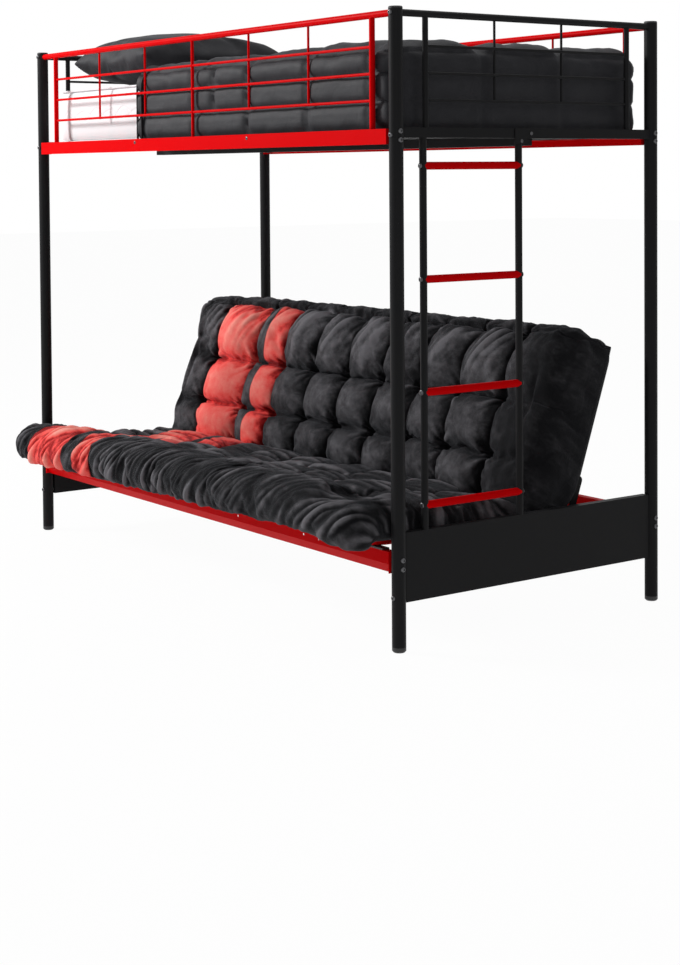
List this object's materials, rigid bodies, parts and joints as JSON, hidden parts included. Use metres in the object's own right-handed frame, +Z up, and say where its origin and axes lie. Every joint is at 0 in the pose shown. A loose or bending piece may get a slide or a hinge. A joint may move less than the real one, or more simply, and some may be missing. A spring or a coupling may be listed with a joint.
{
  "type": "sofa bunk bed",
  "caption": "Steel bunk with guards, slat base and end ladder over a futon sofa that pulls out and folds flat into a bed.",
  "frame": {"origin": "middle of the bed's plan, on the floor", "axes": "+X along the bed towards the ladder end, -Y towards the front, +Z up"},
  "size_m": [2.048, 1.0988, 1.7747],
  "materials": {
    "black_powder_coat": "satin black powder coat",
    "red_enamel": "glossy red enamel",
    "black_plastic": "moulded black plastic",
    "nylon": "black nylon",
    "bright_pin": "turned steel",
    "black_fastener": "blackened domed bolts",
    "futon_cloth": "charcoal twill with coral red stripes",
    "mattress_ticking": "white quilted ticking",
    "bedding_cloth": "dark sateen"
  },
  "bodies": {
    "frame": {"base_cross_bars": "black_powder_coat", "base_slats": "black_powder_coat", "base_strap": "black_powder_coat", "bracket_screws": "black_fastener", "cross_bar_bolts": "black_fastener", "cross_rail_left": "black_powder_coat", "cross_rail_right": "black_powder_coat", "end_bolts": "black_fastener", "end_panel_left": "black_powder_coat", "end_panel_right": "black_powder_coat", "foot_caps": "black_plastic", "front_guard_rods": "red_enamel", "front_guard_top_rail": "red_enamel", "front_guard_uprights": "red_enamel", "glide_pads": "nylon", "guide_plate_left": "black_powder_coat", "guide_plate_right": "black_powder_coat", "ladder_bolts": "black_fastener", "ladder_bracket": "black_powder_coat", "ladder_rungs": "red_enamel", "ladder_uprights": "black_powder_coat", "left_end_guard_rods": "black_powder_coat", "left_end_guard_top_rail": "black_powder_coat", "left_end_guard_uprights": "black_powder_coat", "lower_rail_front": "red_enamel", "lower_rail_rear": "red_enamel", "mattress": "mattress_ticking", "pillow": "bedding_cloth", "post_front_left": "black_powder_coat", "post_front_right": "black_powder_coat", "post_rear_left": "black_powder_coat", "post_rear_right": "black_powder_coat", "quilt": "bedding_cloth", "rear_guard_rods": "red_enamel", "rear_guard_top_rail": "red_enamel", "rear_guard_uprights": "red_enamel", "right_end_guard_rods": "black_powder_coat", "right_end_guard_top_rail": "black_powder_coat", "right_end_guard_uprights": "black_powder_coat", "side_rail_bolts": "black_fastener", "top_caps": "black_plastic", "upper_rail_front": "red_enamel", "upper_rail_rear": "red_enamel"},
    "seat": {"seat_deck_tube": "red_enamel", "seat_cross_tube": "red_enamel", "seat_slats": "red_enamel", "seat_pins": "bright_pin", "seat_bushes": "nylon", "seat_futon": "futon_cloth"},
    "back": {"back_deck_tube": "black_powder_coat", "back_cross_tubes": "black_powder_coat", "back_slats": "black_powder_coat", "crank_plates": "black_powder_coat", "crank_pins": "bright_pin", "crank_bushes": "nylon", "back_futon": "futon_cloth"}
  },
  "joints": [
    {"name": "seat_slide", "type": "slide", "parent": "frame", "child": "seat", "axis": [0, -1, 0], "range_m": [0, 0.32]},
    {"name": "back_fold", "type": "hinge", "parent": "seat", "child": "back", "pos_m": [0, 0.2555, 0.2825], "axis": [-1, 0, 0], "range_deg": [0, 70]}
  ],
  "couplings": [
    {"joint": "back_fold", "follows": "seat_slide", "rad_per_m": 3.8179}
  ]
}
